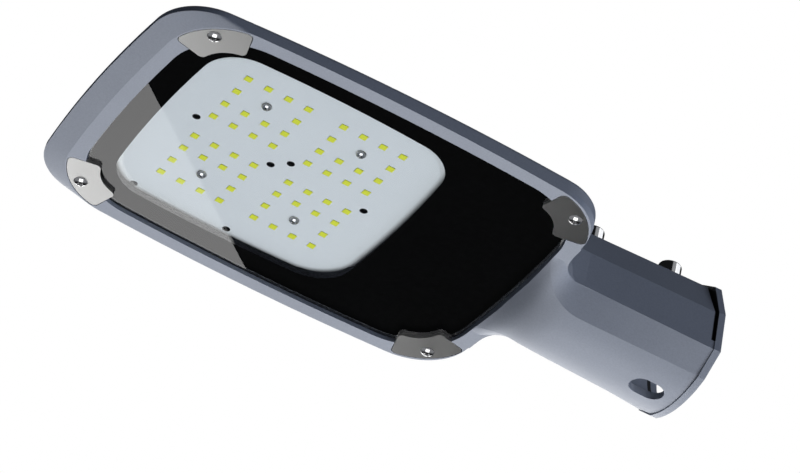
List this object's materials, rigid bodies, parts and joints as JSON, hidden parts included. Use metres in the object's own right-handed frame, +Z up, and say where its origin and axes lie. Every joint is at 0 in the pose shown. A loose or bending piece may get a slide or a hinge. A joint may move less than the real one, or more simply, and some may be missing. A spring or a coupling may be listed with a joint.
{
  "type": "street light head",
  "caption": "Street light head: cast body with cooling fins, flat glass lens over LED arrays, corner clips, and a spigot with clamp bolts for a pole end.",
  "frame": {"origin": "middle of the spigot mouth, on the axis of the pole bore", "axes": "+X out of the spigot mouth along the pole bore, +Y across the head, +Z up, with the lens underneath"},
  "size_m": [0.3667, 0.1976, 0.0855],
  "materials": {
    "powder_coat": "fine-grained grey powder coat on die-cast aluminium",
    "lens_glass": "clear tempered glass",
    "black_print": "opaque black ceramic print",
    "silicone": "soft matt silicone",
    "white_cover": "smooth white",
    "board": "white solder mask on aluminium",
    "pad": "grey silicone pad",
    "plated_screw": "bright plated steel",
    "black_steel": "black polished steel",
    "driver_case": "satin",
    "zinc_screw": "zinc plated",
    "terminal_plastic": "moulded",
    "brass_screw": "plain",
    "black_nylon": "moulded",
    "led_phosphor": "yellow phosphor",
    "stainless": "fine brushed stainless steel"
  },
  "bodies": {
    "root": {"housing": "powder_coat", "glass": "lens_glass", "glass_print": "black_print", "glass_gasket": "silicone", "led_tray": "white_cover", "led_board": "board", "thermal_pad": "pad", "board_screws": "plated_screw", "clip_screws": "plated_screw", "clamp_bolts": "black_steel", "driver": "driver_case", "driver_screws": "zinc_screw", "terminal_block": "terminal_plastic", "terminal_screws": "brass_screw", "gland_body": "black_nylon", "gland_nut": "black_nylon", "gland_cap": "black_nylon", "gland_seal": "silicone", "earth_screw": "brass_screw", "leds_front_left": "led_phosphor", "leds_front_right": "led_phosphor", "leds_rear_left": "led_phosphor", "leds_rear_right": "led_phosphor", "clip_front_left": "stainless", "clip_front_right": "stainless", "clip_rear_left": "stainless", "clip_rear_right": "stainless"}
  },
  "joints": []
}
